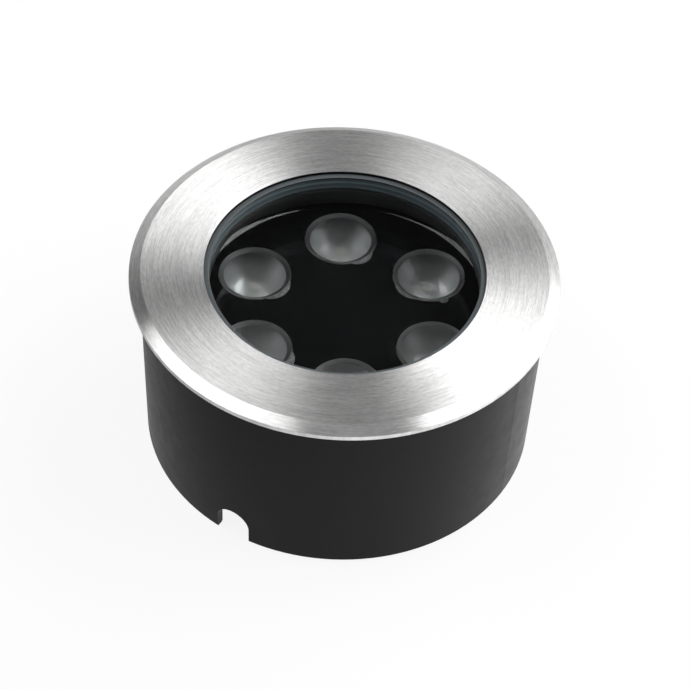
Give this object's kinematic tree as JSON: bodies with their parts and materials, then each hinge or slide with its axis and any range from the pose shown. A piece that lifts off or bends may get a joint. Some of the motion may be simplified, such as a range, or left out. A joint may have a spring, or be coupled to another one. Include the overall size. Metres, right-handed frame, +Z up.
{
  "type": "in ground well light",
  "caption": "Round in-ground spotlight: a brushed steel face ring and thick glass over frosted lenses, in a tapered black ground sleeve with a cable notch.",
  "frame": {"origin": "centre of the well's base, on the surface it stands on", "axes": "+Z up through the glass; -Y towards the cable notch; +X to the right seen from the notch"},
  "size_m": [0.15, 0.15, 0.0745],
  "materials": {
    "well_plastic": "moulded matte black",
    "housing_paint": "black powder coat on die casting",
    "ring_steel": "turned and brushed round the axis",
    "fastener_steel": "bright zinc",
    "cover_glass": "clear toughened glass",
    "seal_rubber": "matte silicone",
    "carrier_plastic": "matte black",
    "plate_gloss": "high gloss black",
    "lens_frosted": "clear acrylic with a frosted face",
    "holder_plastic": "matte white",
    "led_package": "phosphor under a clear dome",
    "board_white": "white solder mask on aluminium",
    "pad_silicone": "matte blue-grey",
    "plate_aluminium": "machined",
    "board_green": "satin solder mask",
    "standoff_brass": "bright",
    "ferrite": "matte ferrite",
    "capacitor_can": "satin can",
    "chip_plastic": "matte black moulding",
    "terminal_plastic": "satin off-white",
    "lead_red": "soft plastic insulation",
    "lead_black": "soft plastic insulation",
    "gland_nickel": "nickel plated"
  },
  "bodies": {
    "well": {"well_sleeve": "well_plastic"},
    "lamp": {"housing": "housing_paint", "face_ring": "ring_steel", "face_studs": "fastener_steel", "stud_washers": "fastener_steel", "stud_nuts": "fastener_steel", "glass": "cover_glass", "glass_gasket": "seal_rubber", "glass_carrier": "carrier_plastic", "cover_seal": "seal_rubber", "grip_ring": "seal_rubber", "cover_plate": "plate_gloss", "lens_1": "lens_frosted", "lens_2": "lens_frosted", "lens_3": "lens_frosted", "lens_4": "lens_frosted", "lens_5": "lens_frosted", "lens_6": "lens_frosted", "lens_holder_1": "holder_plastic", "lens_holder_2": "holder_plastic", "lens_holder_3": "holder_plastic", "lens_holder_4": "holder_plastic", "lens_holder_5": "holder_plastic", "lens_holder_6": "holder_plastic", "led_1": "led_package", "led_2": "led_package", "led_3": "led_package", "led_4": "led_package", "led_5": "led_package", "led_6": "led_package", "led_board": "board_white", "led_board_screws": "fastener_steel", "thermal_pad": "pad_silicone", "heat_plate": "plate_aluminium", "heat_plate_screws": "fastener_steel", "driver_board": "board_green", "driver_standoffs": "standoff_brass", "driver_screws": "fastener_steel", "driver_inductor": "ferrite", "driver_capacitors": "capacitor_can", "driver_rectifier": "chip_plastic", "driver_controller": "chip_plastic", "input_terminal": "terminal_plastic", "output_terminal": "terminal_plastic", "lead_positive": "lead_red", "lead_negative": "lead_black", "gland_body": "gland_nickel", "gland_seal": "seal_rubber", "gland_insert": "seal_rubber"},
    "claw": {"gland_claw": "chip_plastic"},
    "cap": {"gland_cap": "gland_nickel"}
  },
  "joints": [
    {"name": "lamp_lift", "type": "slide", "parent": "well", "child": "lamp", "axis": [0, 0, 1], "range_m": [0, 0.08]},
    {"name": "claw_slide", "type": "slide", "parent": "lamp", "child": "claw", "axis": [0, -1, 0], "range_m": [0, 0.0038]},
    {"name": "cap_turn", "type": "hinge", "parent": "claw", "child": "cap", "pos_m": [0, -0.0417, 0.009], "axis": [0, -1, 0], "range_deg": [0, 900]}
  ],
  "couplings": [
    {"joint": "claw_slide", "follows": "cap_turn", "m_per_rad": 0.00023873}
  ]
}
